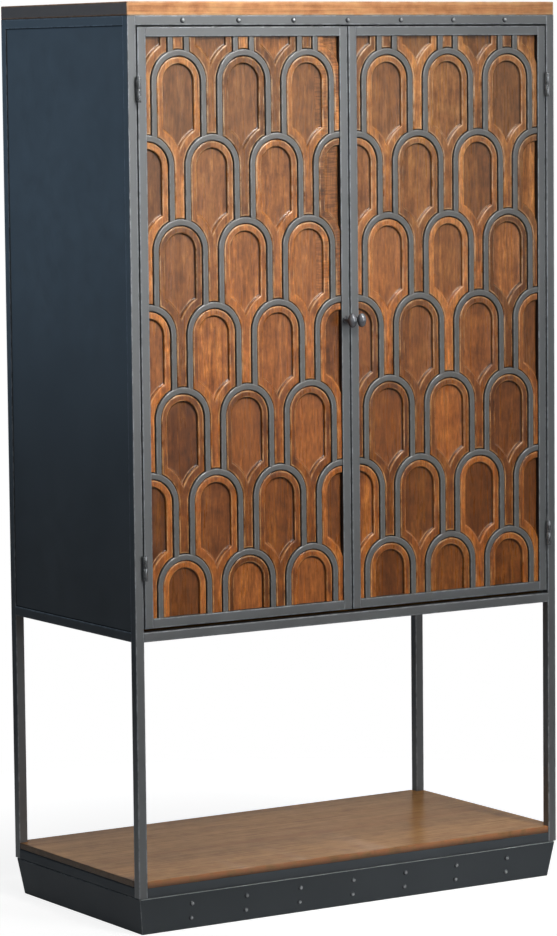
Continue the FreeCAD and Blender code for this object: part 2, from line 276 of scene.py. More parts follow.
made, worn = blank("edge")
rings = []
for step in range(bead_steps + 1):
    x = plinth_low.x + bead_inset + bead_length * step / bead_steps
    radius = bead_radius * (1 + bead_ripple * noise.noise((x * bead_ripple_scale, 0, 0)))
    rings.append([made.verts.new((x, y, z)) for y, z in circle(bead_y, bead_z, radius, bead_sides)])
for corner in made.verts:
    corner[worn] = 1.0
close_up(made, rings)
bead_paint = satin_paint("bead_paint", bead_highlight_grey, bead_highlight_pale, roughness=0.4, flake=0.2)
fit("plinth_front_bead", made, "cabinet", bead_paint, "plinth_paint")


# Plinth rivets: two rows of round-headed steel rivets that close the plinth's front fold on the
# strip behind it. Blackened heads, rubbed bright on the crown.
rivet_radius = 0.0055
rivet_height = 0.0045
rivet_levels = (0.0, 0.35, 0.68, 0.9)
rivet_sides = 12
rivet_wear_power = 5
rivet_count = 7
rivet_spacing = 0.128
rivet_rows = 2
lower_row = 0.022
row_rise = 0.030
plinth_foot_inset = 0.011
rivet_black = (0.045, 0.050, 0.055)
rivet_bright = (0.72, 0.74, 0.76)


def turned(made, profile, sides, seat, outward):
    """A shape turned on a lathe: radius and height pairs, from the seat outwards. Returns its rings."""
    turn = Vector((0, 0, 1)).rotation_difference(outward).to_matrix()
    rings = []
    for radius, height in profile:
        spots = [(0, 0)] if radius == 0 else circle(0, 0, radius, sides)
        rings.append([made.verts.new(seat + turn @ Vector((x, y, height))) for x, y in spots])
    walls(made, rings)
    bmesh.ops.recalc_face_normals(made, faces=made.faces)
    return rings


def rivet_head(outward):
    """One round rivet head on its seat at the origin, to be copied along a row."""
    made, worn = blank("edge")
    ball = (rivet_radius**2 + rivet_height**2) / (2 * rivet_height)
    profile = [(0.0, 0.0)]
    for level in rivet_levels:
        height = rivet_height * level
        profile.append((math.sqrt(ball**2 - (ball - rivet_height + height) ** 2), height))
    profile.append((0.0, rivet_height))
    for ring, (_, height) in zip(turned(made, profile, rivet_sides, Vector(), outward), profile):
        for corner in ring:
            corner[worn] = (height / rivet_height) ** rivet_wear_power
    return loose_piece("rivet_head", made)


def times(tree, vector, amount):
    """A vector or a colour, so many times as long or as bright."""
    return add(tree, "ShaderNodeVectorMath", {0: vector, "Scale": amount}, operation="SCALE").outputs[0]


def rows_layout():
    """Geometry Nodes tree: copies of a piece in rows, every other row shifted, each with its own tone."""
    tree = bpy.data.node_groups.new("rows_layout", "GeometryNodeTree")
    kinds = {"Piece": "Object", "Across": "Int", "Rows": "Int", "Seed": "Int", "Finish": "Material"}
    kinds |= dict.fromkeys(("First", "Step", "Row step", "Row shift"), "Vector")
    for name, kind in kinds.items():
        tree.interface.new_socket(name, in_out="INPUT", socket_type=f"NodeSocket{kind}")
    tree.interface.new_socket("Geometry", in_out="OUTPUT", socket_type="NodeSocketGeometry")
    given = add(tree, "NodeGroupInput").outputs
    index = add(tree, "GeometryNodeInputIndex").outputs["Index"]
    column = reckon(tree, "MODULO", index, given["Across"])
    row = reckon(tree, "FLOOR", reckon(tree, "DIVIDE", index, given["Across"]))
    odd_row = reckon(tree, "MODULO", row, 2.0)
    place = given["First"]
    for step, number in (("Step", column), ("Row step", row), ("Row shift", odd_row)):
        move = times(tree, given[step], number)
        place = add(tree, "ShaderNodeVectorMath", {0: place, 1: move}).outputs[0]
    count = reckon(tree, "MULTIPLY", given["Across"], given["Rows"])
    points = add(tree, "GeometryNodePoints", {"Count": count, "Position": place})
    source = add(tree, "GeometryNodeObjectInfo", {"Object": given["Piece"]})
    sockets = {"Points": points.outputs[0], "Instance": source.outputs["Geometry"]}
    copies = add(tree, "GeometryNodeInstanceOnPoints", sockets)
    least, most = 2, 3
    sockets = {least: -0.5, most: 0.5, "Seed": given["Seed"]}
    tone = add(tree, "FunctionNodeRandomValue", sockets, data_type="FLOAT")
    sockets = {"Geometry": copies.outputs[0], "Name": "tone", "Value": tone.outputs[1]}
    toned = add(tree, "GeometryNodeStoreNamedAttribute", sockets, data_type="FLOAT", domain="INSTANCE")
    whole = add(tree, "GeometryNodeRealizeInstances", {"Geometry": toned.outputs[0]})
    sockets = {"Geometry": whole.outputs[0], "Material": given["Finish"]}
    finished = add(tree, "GeometryNodeSetMaterial", sockets)
    add(tree, "NodeGroupOutput", {"Geometry": finished.outputs[0]})
    return tree


def freeze(piece):
    """Leaves what a piece's modifiers make of it as its plain mesh."""
    graph = bpy.context.evaluated_depsgraph_get()
    mesh = bpy.data.meshes.new_from_object(piece.evaluated_get(graph), depsgraph=graph)
    piece.modifiers.clear()
    piece.data = mesh
    return piece


def lay_out(name, **sizes):
    """Runs the rows layout with the sizes given, and leaves what it makes as a plain mesh."""
    bearer = loose_piece(name, bmesh.new())
    modifier = bearer.modifiers.new("rows", "NODES")
    modifier.node_group = rows
    for item in rows.interface.items_tree:
        key = item.name.lower().replace(" ", "_")
        if item.in_out == "INPUT" and key in sizes:
            modifier[item.identifier] = sizes[key]
    return freeze(bearer)


def rubbed_steel(name, dark, bright, roughness):
    """Blackened steel, rubbed to bright metal on the parts marked as worn."""
    material, tree, place, surface = new_finish(name)
    scuff = ramp(tree, speckle(tree, place, 260.0, detail=5.0), (0.35, 0.75), (0.65, 1.0))
    worn = reckon(tree, "MULTIPLY", mark(tree, "edge"), scuff)
    cloud = speckle(tree, place, 60.0, detail=4.0)
    coat = ramp(tree, cloud, (0.3, tint(dark, 0.8)), (0.7, tint(dark, 1.2)))
    smear = ramp(tree, cloud, (0.3, roughness - 0.08), (0.7, roughness + 0.08))
    lay_on(tree, surface, blend(tree, worn, coat, tint(bright)), smear)
    tree.links.new(reckon(tree, "MULTIPLY", worn, 0.8), surface.inputs["Metallic"])
    roughen(tree, surface, speckle(tree, place, 700.0), 0.15, 0.0003)
    return material


def rivet_heads(name, node, outward, first, row_count=1, row_step=Vector()):
    """Rivet heads in rows along the front, in the place of a node."""
    head = rivet_head(outward)
    heads = lay_out(
        name,
        piece=head,
        across=rivet_count,
        rows=row_count,
        first=first,
        step=Vector((rivet_spacing, 0, 0)),
        row_step=row_step,
        finish=rivet_finish,
    )
    settle(heads, "cabinet", rivet_finish, "rivet_steel", node)
    bpy.data.objects.remove(head)


rows = rows_layout()
rivet_finish = rubbed_steel("rivet_steel", rivet_black, rivet_bright, roughness=0.26)
plinth_lean = math.atan2(plinth_foot_inset, plinth_high.z)
plinth_outward = Vector((0, -math.cos(plinth_lean), -math.sin(plinth_lean)))
first_x = -rivet_spacing * (rivet_count - 1) / 2
first_y = plinth_low.y + plinth_foot_inset - lower_row * math.tan(plinth_lean)
first_rivet = Vector((first_x, first_y, lower_row))
row_step = Vector((0, -row_rise * math.tan(plinth_lean), row_rise))
rivet_heads("plinth_rivet_heads", "plinth_rivets", plinth_outward, first_rivet, rivet_rows, row_step)


# Cabinet frame: four posts and twelve rails of square steel tube with rolled corners, butted and
# welded, the welds ground flush. Satin gunmetal paint, and charcoal on the rails over the plinth.
levels = ("lower", "mid", "top")
runs = ("front", "rear", "left", "right")
posts = [f"{end}_{side}_post" for end in ("front", "rear") for side in ("left", "right")]
rails = [f"{run}_{level}_rail" for level in levels for run in runs]
tube_corner = 0.0008
tube_corner_steps = 3
tube_shade = 0.9
gunmetal = (0.205, 0.211, 0.215)
# The pale rubbed colour on the tube edges is wear and also a painted highlight.
rubbed_and_highlit_gunmetal = (0.40, 0.42, 0.44)
quarter_turns = ((1, 0), (0, 1), (-1, 0), (0, -1))


def tube_section(side):
    """Outline of the square tube with its rounded corners, and a mark for how worn each point is."""
    half = side / 2
    centre = half - tube_corner
    rounded = arc(centre, centre, tube_corner, 0, math.pi / 2, tube_corner_steps)
    corner = [(half, centre - worn_band, 0.0)] + [(x, y, 1.0) for x, y in rounded]
    corner.append((centre - worn_band, half, 0.0))
    return [(c * x - s * y, s * x + c * y, wear) for c, s in quarter_turns for x, y, wear in corner]


def rolled_tube(node, shaded_sides=(), rub=1.0):
    """A length of square tube where a node is, closed at its ends, with painted shade on some of its faces.
    """
    low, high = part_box(node)
    middle = (low + high) / 2
    size = high - low
    along = max(range(3), key=lambda axis: size[axis])
    first, second = [axis for axis in range(3) if axis != along]
    made, worn, shade_and_dirt = blank("edge", "shade_and_grime")
    rings = []
    for end in (low[along], high[along]):
        ring = []
        for across, up, wear in tube_section(size[first]):
            spot = middle.copy()
            spot[along] = end
            spot[first] += across
            spot[second] += up
            corner = made.verts.new(spot)
            corner[worn] = wear * rub
            # Painted shade: faces turned to the shaded sides are darkened almost to black.
            reach = [(spot - middle).dot(side) for side in shaded_sides]
            is_shaded = any(out > size[first] / 2 - tube_corner * 0.3 for out in reach)
            corner[shade_and_dirt] = tube_shade if is_shaded else 0.0
            ring.append(corner)
        rings.append(ring)
    close_up(made, rings)
    return made


frame_paint = satin_paint("frame_paint", gunmetal, rubbed_and_highlit_gunmetal)
for node in posts + rails:
    if "lower" in node:
        finish = plinth_paint
        # The lower rails' top and bottom faces are painted dark, as shade under the shelf and over the
        # plinth.
        tube = rolled_tube(node, (Vector((0, 0, -1)), Vector((0, 0, 1))), rub=0.0)
    else:
        finish = frame_paint
        tube = rolled_tube(node)
    fit(f"{node}_tube", tube, "cabinet", finish, "frame_paint", node)


# Corner plates and floor lugs: flat steel welded between plinth and frame, and inside the middle
# rails. They take the frame's paint and stay as cut.
def dress(node, finish):
    """Puts a finish on a node that keeps its own shape."""
    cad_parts[node].data.materials.clear()
    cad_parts[node].data.materials.append(finish)


for node in ("corner_plates", "floor_lugs"):
    dress(node, frame_paint)


# Boards of the cabinet: the shelf of the open bay, the cabinet floor and two shelves inside, glued
# up from hardwood staves, eased by hand, stained brown and lacquered satin.
inside_boards = ("cabinet_floor", "inner_shelf_1", "inner_shelf_2")
board_ease = 0.0015
ease_step = 0.35
shelf_cuts = 70
shelf_waver = 0.0009
broad_chips = 60
fine_chips = 190
shelf_edge_wear = 1.7
shelf_end_shade = 0.62
shelf_foot_shade = 0.6
shelf_browns = ((0.235, 0.107, 0.037), (0.47, 0.240, 0.086), (0.67, 0.367, 0.145))
shelf_worn = (0.50, 0.20, 0.075)
shelf_shade = (0.016, 0.012, 0.010)


def stretched(tree, place, axis, amount):
    """The place, squeezed along one axis, so that clouds there become streaks."""
    squeeze = Vector((1.0, 1.0, 1.0))
    squeeze[axis] = amount
    return add(tree, "ShaderNodeMapping", {"Vector": place, "Scale": squeeze}).outputs["Vector"]


def climb(tree, value, start, end, first=0.0, last=1.0):
    """A number that goes from the first to the last while a value goes from start to end."""
    sockets = {"Value": value, "From Min": start, "From Max": end, "To Min": first, "To Max": last}
    return add(tree, "ShaderNodeMapRange", sockets).outputs[0]


def timber(
    name, browns, worn_colour, shade_colour, grain, stave_axis, stave, roughness, gloss,
    stretch=0.07, fleck=0.3, contrast=1.0, curl=(99, 0),
):
    """Lacquered hardwood in glued staves. grain is the axis that the fibres run along, fleck how far
    short streaks change the colour, contrast how far the browns lie apart, and curl the number of a
    curly stave and where that begins."""
    material, tree, place, surface = new_finish(name)
    dark, brown, pale = browns
    fibres = stretched(tree, place, grain, stretch)
    apart = add(tree, "ShaderNodeSeparateXYZ", {"Vector": place}).outputs
    number = reckon(tree, "FLOOR", reckon(tree, "DIVIDE", apart[stave_axis], stave))
    lot = add(tree, "ShaderNodeTexWhiteNoise", {"W": number}, noise_dimensions="1D").outputs
    own = add(tree, "ShaderNodeVectorMath", {0: fibres, 1: times(tree, lot["Color"], 3.0)}).outputs[0]
    figure = speckle(tree, own, 55.0, detail=6.0, roughness=0.62, distortion=1.4)
    cloud = speckle(tree, place, 30.0, detail=5.0, roughness=0.65)
    share = reckon(tree, "MULTIPLY_ADD", figure, 0.75, -0.28)
    share = reckon(tree, "MULTIPLY_ADD", cloud, 0.76, share)
    share = reckon(tree, "MULTIPLY_ADD", lot["Value"], 0.14, share)
    share = reckon(tree, "MULTIPLY_ADD", share, contrast, 0.54 * (1 - contrast))
    colour = ramp(tree, share, (0.30, dark), (0.54, brown), (0.80, pale))
    tone = mark(tree, "tone")
    ticket = reckon(tree, "FLOOR", reckon(tree, "MULTIPLY", reckon(tree, "ADD", tone, 0.5), 997.0))
    draws = add(tree, "ShaderNodeTexWhiteNoise", {"W": ticket}, noise_dimensions="1D")
    draw = add(tree, "ShaderNodeSeparateColor", {"Color": draws.outputs["Color"]}).outputs
    depth = mark(tree, "sunk")
    grey = (brown[0] * 0.88, brown[0] * 0.33, brown[0] * 0.115)
    patches = ramp(tree, speckle(tree, own, 14.0, detail=3.0), (0.45, 0.0), (0.7, 0.3))
    faded = reckon(tree, "MULTIPLY", reckon(tree, "MULTIPLY", draw["Green"], 0.5), depth)
    colour = blend(tree, reckon(tree, "ADD", patches, faded), colour, tint(grey))
    border = reckon(tree, "MULTIPLY_ADD", tone, 0.85, 0.925)
    sunk = reckon(tree, "MULTIPLY_ADD", draw["Red"], 0.86, 0.36)
    drop = reckon(tree, "MULTIPLY", depth, reckon(tree, "SUBTRACT", sunk, border))
    strength = reckon(tree, "ADD", border, drop)
    waves = speckle(tree, stretched(tree, place, stave_axis, 0.13), 250.0, detail=2.0, distortion=0.7)
    ripple = ramp(tree, waves, (0.38, 0.68), (0.62, 1.32))
    curly_stave, curl_start = curl
    begun = climb(tree, apart[grain], curl_start - 0.05, curl_start + 0.05)
    curly = reckon(tree, "MULTIPLY", reckon(tree, "COMPARE", number, curly_stave, 0.5), begun)
    strength = reckon(tree, "MULTIPLY", strength, blend(tree, curly, tint(1.0), ripple))
    streaks = speckle(tree, stretched(tree, place, grain, 0.22), 190.0, detail=3.0, roughness=0.65)
    flecks = reckon(tree, "SUBTRACT", streaks, 0.5)
    strength = reckon(tree, "MULTIPLY", strength, reckon(tree, "MULTIPLY_ADD", flecks, fleck, 1.0))
    colour = times(tree, colour, strength)
    pores = speckle(tree, own, 300.0, detail=5.0, roughness=0.75)
    lined = ramp(tree, pores, (0.36, 0.45), (0.5, 0.0))
    colour = blend(tree, lined, colour, tint(dark, 0.6))
    scuff = ramp(tree, speckle(tree, place, 45.0, detail=5.0), (0.36, 0.05), (0.64, 0.85))
    wear = reckon(tree, "MULTIPLY", mark(tree, "edge"), scuff)
    colour = blend(tree, wear, colour, tint(worn_colour))
    # Painted shade: where the mesh's shade mark says, the wood turns towards the shade colour.
    colour = blend(tree, mark(tree, "shade_and_grime"), colour, tint(shade_colour))
    sheen = ramp(tree, figure, (0.3, roughness + 0.08), (0.75, roughness - 0.05))
    lay_on(tree, surface, colour, reckon(tree, "MULTIPLY_ADD", mark(tree, "edge"), -0.1, sheen))
    surface.inputs["Specular IOR Level"].default_value = gloss
    roughen(tree, surface, reckon(tree, "ADD", pores, figure), 0.3, 0.0006)
    return material


def polish(material, share, roughness):
    """Rubs a finish up so that it shines by the same share from low down as from above."""
    tree = material.node_tree
    surface = tree.nodes["Principled BSDF"]
    surface.inputs["Specular IOR Level"].default_value = 0.0
    shine = add(tree, "ShaderNodeBsdfGlossy", {"Color": tint(1.0), "Roughness": roughness})
    tree.links.new(surface.inputs["Normal"].links[0].from_socket, shine.inputs["Normal"])
    sockets = {0: share, 1: surface.outputs["BSDF"], 2: shine.outputs["BSDF"]}
    both = add(tree, "ShaderNodeMixShader", sockets)
    tree.links.new(both.outputs[0], tree.nodes["Material Output"].inputs["Surface"])


def eased_board(node, ease, dirt_and_shade_rim=0.0, shaded_ends=0.0):
    """A board where a node is, rounded along its edges, marked worn there, and darkened on its rim or ends
    as painted shade and dirt.
    """
    low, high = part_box(node)
    inner_low = low + Vector((ease, ease, ease))
    inner_high = high - Vector((ease, ease, ease))
    lines = []
    for axis in range(3):
        marks = [low[axis], low[axis] + ease * ease_step, inner_low[axis]]
        marks += [inner_high[axis], high[axis] - ease * ease_step, high[axis]]
        if high[axis] - low[axis] > 4 * worn_band:
            marks += [inner_low[axis] + worn_band, inner_high[axis] - worn_band]
        lines.append(sorted(marks))
    made, worn, shade_and_dirt = blank("edge", "shade_and_grime")
    for axis in range(3):
        first, second = [other for other in range(3) if other != axis]
        for end in (low[axis], high[axis]):
            for a, next_a in zip(lines[first], lines[first][1:]):
                for b, next_b in zip(lines[second], lines[second][1:]):
                    corners = []
                    for across, up in ((a, b), (next_a, b), (next_a, next_b), (a, next_b)):
                        spot = Vector()
                        spot[axis], spot[first], spot[second] = end, across, up
                        corners.append(made.verts.new(spot))
                    made.faces.new(corners)
    bmesh.ops.remove_doubles(made, verts=made.verts, dist=1e-7)
    for corner in made.verts:
        spot = corner.co
        near = [min(spot[axis] - low[axis], high[axis] - spot[axis]) < ease + 1e-6 for axis in range(3)]
        on_rim = sum(near) > 1
        corner[worn] = 1.0 if on_rim and not dirt_and_shade_rim else 0.0
        corner[shade_and_dirt] = dirt_and_shade_rim if on_rim else shaded_ends if near[0] else 0.0
        inner = Vector([min(max(spot[axis], inner_low[axis]), inner_high[axis]) for axis in range(3)])
        corner.co = inner + (spot - inner).normalized() * ease
    bmesh.ops.recalc_face_normals(made, faces=made.faces)
    return made


def cut_through(made, spot, outward, **what_stays):
    """Cuts a mesh along a plane."""
    everything = made.verts[:] + made.edges[:] + made.faces[:]
    bmesh.ops.bisect_plane(made, geom=everything, plane_co=spot, plane_no=outward, **what_stays)


shelf_wood = timber(
    "shelf_wood", shelf_browns, shelf_worn, shelf_shade, grain=0, stave_axis=1, stave=0.085,
    roughness=0.3, gloss=0.0, stretch=0.03, contrast=0.5,
)
polish(shelf_wood, share=0.07, roughness=0.2)
for node in inside_boards:
    fit(f"{node}_board", eased_board(node, board_ease), "cabinet", shelf_wood, "shelf_wood", node)

shelf_low, shelf_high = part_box("bay_shelf")
shelf = eased_copy("bay_shelf", board_ease)
for cut in range(1, shelf_cuts):
    x = shelf_low.x + (shelf_high.x - shelf_low.x) * cut / shelf_cuts
    cut_through(shelf, (x, 0, 0), (1, 0, 0))
worn = shelf.verts.layers.float["edge"]
shade_and_dirt = shelf.verts.layers.float.new("shade_and_grime")
# Painted shade on the bay shelf: its ends, darkest low down, and the foot of its front edge.
for corner in shelf.verts:
    near_front = corner.co.y - shelf_low.y
    near_end = min(corner.co.x - shelf_low.x, shelf_high.x - corner.co.x)
    near_foot = corner.co.z - shelf_low.z
    at_foot = near_front < board_ease and near_foot < worn_band + board_ease * 2
    end_shade = 1.0 if near_foot < board_ease * 1.2 else shelf_end_shade
    foot_shade = shelf_foot_shade if at_foot else 0.0
    corner[shade_and_dirt] = end_shade if near_end < board_ease else foot_shade
    corner[worn] = shelf_edge_wear if near_front < board_ease * 1.2 else 0.0
    if near_front < board_ease * 2 and corner.co.z > shelf_low.z + board_ease * 2:
        chip = noise.noise(corner.co * broad_chips) + 0.5 * noise.noise(corner.co * fine_chips)
        chip = max(0.0, chip)
        corner.co.z -= shelf_waver * chip
        corner.co.y += shelf_waver * chip * 0.8
fit("bay_shelf_board", shelf, "cabinet", shelf_wood, "shelf_wood", "bay_shelf")


# Side and back sheets: thin steel let in between the posts and rails and welded from inside, in paint
# a little darker than the frame's. A fine dark line runs where they meet the frame: dirt, and painted
# shadow in the joint.
sheet_ease = 0.0005
sheet_grey = (0.190, 0.197, 0.202)
rubbed_sheet = (0.26, 0.27, 0.28)
sheet_paint = satin_paint("sheet_paint", sheet_grey, rubbed_sheet)
for node in ("left_side_panel", "right_side_panel", "back_panel"):
    sheet = eased_board(node, sheet_ease, dirt_and_shade_rim=1.0)
    fit(f"{node}_sheet", sheet, "cabinet", sheet_paint, "sheet_paint", node)


# Fittings inside: angle cleats under the shelves in the frame's paint, and plain steel rails on
# upright strips under the top, between which the feet of glasses slide.
plain_steel = (0.50, 0.50, 0.49)


def brushed_steel(name, colour, grain):
    """Plain steel with the fine lines of an abrasive belt along one axis."""
    material, tree, place, surface = new_finish(name)
    scratch = speckle(tree, stretched(tree, place, grain, 0.02), 900.0, detail=4.0)
    cloud = speckle(tree, place, 12.0)
    mixed = reckon(tree, "MULTIPLY_ADD", cloud, 0.5, reckon(tree, "MULTIPLY", scratch, 0.5))
    shades = ramp(tree, mixed, (0.35, tint(colour, 0.78)), (0.65, tint(colour, 1.1)))
    lay_on(tree, surface, shades, ramp(tree, mixed, (0.3, 0.28), (0.7, 0.44)))
    surface.inputs["Metallic"].default_value = 1.0
    roughen(tree, surface, scratch, 0.1, 0.0003)
    return material


rail_steel = brushed_steel("rail_steel", plain_steel, grain=1)
dress("shelf_cleats", frame_paint)
for node in ("stemware_slats", "stemware_hangers"):
    dress(node, rail_steel)


# Top board: a slab glued from hardwood staves, flush with the frame all round, its long front edge
# scraped clean and lacquered over a honey stain.
top_ease = 0.0016
top_end_shade = 0.92
top_browns = ((0.33, 0.115, 0.040), (0.64, 0.285, 0.115), (0.86, 0.48, 0.21))
top_worn = (0.72, 0.48, 0.30)
top_end_shade_grey = (0.40, 0.35, 0.32)
top_wood = timber(
    "top_wood", top_browns, top_worn, top_end_shade_grey, grain=0, stave_axis=2, stave=0.0135,
    roughness=0.42, gloss=0.3, stretch=0.025,
)
# The slab's ends are painted a dull grey, as shade.
top_slab = eased_board("top_board", top_ease, shaded_ends=top_end_shade)
fit("top_board_slab", top_slab, "cabinet", top_wood, "top_wood", "top_board")


# Rivets of the front top rail: the same round heads as on the plinth, in one row, their shanks
# through the tube into the edge of the stemware strips.
rail_low, rail_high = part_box("front_top_rail")
first_on_rail = Vector((first_rivet.x, rail_low.y, (rail_low.z + rail_high.z) / 2))
rivet_heads("top_rail_rivet_heads", "top_rail_rivets", Vector((0, -1, 0)), first_on_rail)


# Door frames: stiles and rails of the same square tube as the cabinet, welded and ground flush,
# in the same gunmetal paint. The faces beside the panel are painted dark, as shade.
doors = ("left_door", "right_door")
door_bars = ("hinge_stile", "meeting_stile", "top_rail", "bottom_rail")
for door in doors:
    panel_middle = sum(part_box(f"{door}_carved_panel"), Vector()) / 2
    for bar in door_bars:
        node = f"{door}_{bar}"
        axis = 0 if bar.endswith("stile") else 2
        way = panel_middle - sum(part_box(node), Vector()) / 2
        inward = Vector()
        inward[axis] = math.copysign(1, way[axis])
        fit(f"{node}_tube", rolled_tube(node, (inward,)), door, frame_paint, "frame_paint", node)


# Door panels: hardwood boards routed by hand. In each arch the wood stands up between the bars, with
# a pocket sunk in it that ends in a point, and a groove round it in which the bars lie.
arches_across = 3
arch_steps = 28
foot_steps = 14
neck_steps = 4
pocket_foot_steps = 10
arch_neck = 0.0248
arch_bar = 0.012
arch_leg = 0.1022
first_crown_drop = 0.025
pocket_half_width = 0.035
pocket_foot_margin = 0.0185
grille_low, grille_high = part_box("left_door_arch_grille")
arch_pitch = (grille_high.x - grille_low.x) / arches_across
arch_outer = (arch_pitch - arch_neck) / 2
arch_inner = arch_outer - arch_bar
row_pitch = arch_outer + arch_leg
row_count = math.ceil((grille_high.z - grille_low.z - first_crown_drop) / row_pitch)
first_row = -1
y_door_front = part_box("left_door_top_rail")[0].y
groove_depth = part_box("left_door_carved_panel")[0].y - y_door_front
panel_seeds = {"left_door": 23451, "right_door": 72491}
hand_waver = 0.00035
waver_scale = 55
waver_seed = 5
rim_width = 0.003
rim_shade = 0.9
# Pale worn edges on the carving are wear and also a painted highlight; the dark colour is painted shade.
door_browns = ((0.14, 0.041, 0.010), (0.375, 0.126, 0.030), (0.65, 0.262, 0.074))
door_worn_and_highlit = (0.74, 0.46, 0.28)
door_shade = (0.012, 0.006, 0.003)

# Steps of the carving: how far in from the bars or the pocket's edge, how deep behind the door's
# front, then wear with painted highlight and painted shade, and for the pocket the same again at its foot
groove_steps = (
    (0.0010, groove_depth, (0.0, 1.0)),
    (0.0012, 0.0056, (0.0, 0.9)),
    (0.0019, 0.0044, (0.6, 0.1)),
    (0.0030, 0.0037, (1.0, 0.0)),
    (0.0045, 0.0035, (0.7, 0.0)),
    (0.0056, 0.0035, (0.0, 0.0)),
)
pocket_steps = (
    (-0.0034, 0.0035, (0.0, 0.0), (0.0, 0.0)),
    (-0.0020, 0.0035, (0.6, 0.0), (0.5, 0.0)),
    (-0.0008, 0.0039, (0.9, 0.0), (1.0, 0.0)),
    (0.0000, 0.0048, (0.4, 0.2), (0.6, 0.0)),
    (0.0005, 0.0078, (0.0, 0.6), (0.0, 0.45)),
    (0.0011, 0.0086, (0.0, 0.9), (0.0, 0.6)),
    (0.0020, 0.0088, (0.0, 0.5), (1.0, 0.0)),
    (0.0034, 0.0089, (0.0, 0.15), (0.3, 0.0)),
    (0.0048, 0.0089, (0.0, 0.0), (0.0, 0.0)),
    (0.0150, 0.0090, (0.0, 0.0), (0.0, 0.0)),
    (0.0240, 0.0090, (0.0, 0.0), (0.0, 0.0)),
    (0.0310, 0.0090, (0.0, 0.0), (0.0, 0.0)),
)
pocket_floor_depth = 0.0087
shaded_side = Vector((0.96, 0.72))
shade_spread = 0.2
foot_left_highlight = 0.4
foot_slope = 2.4
foot_run = 0.0016
foot_radius = arch_outer + pocket_foot_margin
foot_top = math.sqrt(foot_radius**2 - (arch_pitch / 2 - pocket_half_width) ** 2) - row_pitch


def cell_outline(inset):
    """Edge of the wood in one arch and the neck below it, drawn in from the bars, round (0, 0)."""
    half = arch_pitch / 2
    inner = arch_inner - inset
    outer = arch_outer + inset
    foot = math.acos((inner - half) / outer)
    crown = math.acos((arch_neck / 2 - inset) / outer)
    return (
        arc(0, 0, inner, math.pi, 0, arch_steps)
        + arc(half, -row_pitch, outer, foot, math.pi, foot_steps)
        + arc(0, -2 * row_pitch, outer, crown, math.pi - crown, neck_steps)
        + arc(-half, -row_pitch, outer, 0, math.pi - foot, foot_steps)
    )


def pocket_outline(inset):
    """Edge of the pocket in one arch, drawn in, with its pointed foot, which slopes less than the sides."""
    half = arch_pitch / 2
    width = pocket_half_width - inset
    radius = foot_radius + (min(inset * foot_slope, inset + foot_run) if inset > 0 else inset)
    shoulder = math.acos((width - half) / radius)
    tip = math.acos(-half / radius)
    return (
        arc(0, 0, width, math.pi, 0, arch_steps)
        + arc(half, -row_pitch, radius, shoulder, tip, pocket_foot_steps)
        + arc(-half, -row_pitch, radius, math.pi - tip, math.pi - shoulder, pocket_foot_steps)[1:]
    )


def pocket_marks(x, z, side_marks, foot_marks):
    """Painted shade in a pocket lies under its crown and down its right side; its foot carries a painted
    highlight, stronger on the right.
    """
    if z < foot_top:
        wear, shade_and_grime = foot_marks
        return (wear, shade_and_grime) if x > 0 else (wear * foot_left_highlight, 0.0)
    wear, shade_and_grime = side_marks
    out = Vector((x, max(z, 0.0))).normalized()
    return wear, shade_and_grime * min(max(out.dot(shaded_side) + shade_spread, 0.0), 1.0)


def stepped_rings(made, outline, steps, marks_at):
    """Rings of corners, one for each step of the carving, with the walls between them."""
    worn, shade_and_dirt, sunk = [made.verts.layers.float[name] for name in ("edge", "shade_and_grime", "sunk")]
    rings = []
    for inset, depth, *marks in steps:
        ring = []
        for x, z in outline(inset):
            corner = made.verts.new((x, y_door_front + depth, z))
            corner[worn], corner[shade_and_dirt] = marks_at(x, z, *marks)
            corner[sunk] = float(depth > pocket_floor_depth)
            ring.append(corner)
        rings.append(ring)
    for near, far in zip(rings, rings[1:]):
        for number in range(len(near)):
            made.faces.new((near[number - 1], far[number - 1], far[number], near[number]))
    return rings


def between(loops):
    """Flat triangles inside the first loop and outside the others, as points of the door's plane."""
    points = []
    faces = []
    for loop in loops:
        faces.append(list(range(len(points), len(points) + len(loop))))
        points += [Vector(point) for point in loop]
    spots, _, triangles, _, _, owners = delaunay_2d_cdt(points, [], faces, 0, 1e-7)
    return [[spots[n] for n in three] for three, owner in zip(triangles, owners) if owner == [0]]


def carved_cell():
    """The carved wood of one arch: a raised border, and the pocket in it."""
    made = blank("edge", "shade_and_grime", "sunk")[0]
    border = stepped_rings(made, cell_outline, groove_steps, lambda x, z, marks: marks)[-1]
    pocket = stepped_rings(made, pocket_outline, pocket_steps, pocket_marks)
    made.faces.new(pocket[-1])
    loops = [[(corner.co.x, corner.co.z) for corner in reversed(ring)] for ring in (border, pocket[0])]
    for three in between(loops):
        made.faces.new([made.verts.new((spot.x, border[0].co.y, spot.y)) for spot in three])
    bmesh.ops.remove_doubles(made, verts=made.verts, dist=1e-6)
    return loose_piece("carved_cell", made)


def spring_line(row):
    """Height of the centres of one row's arches."""
    return grille_high.z - first_crown_drop - arch_outer - (row - 1) * row_pitch


def row_start(row):
    """Place of a row's first centre beside the door's middle."""
    return -arch_pitch if row % 2 else -1.5 * arch_pitch


def arch_centres(door_centre):
    """Centres of all arches that reach into one door."""
    centres = []
    for row in range(first_row, row_count + 1):
        start = door_centre + row_start(row)
        centres += [(start + column * arch_pitch, spring_line(row)) for column in range(arches_across + 1)]
    return centres


def reopen(piece):
    """Takes a loose piece off the bench as a mesh to work on."""
    made = bmesh.new()
    made.from_mesh(piece.data)
    bpy.data.objects.remove(piece)
    return made


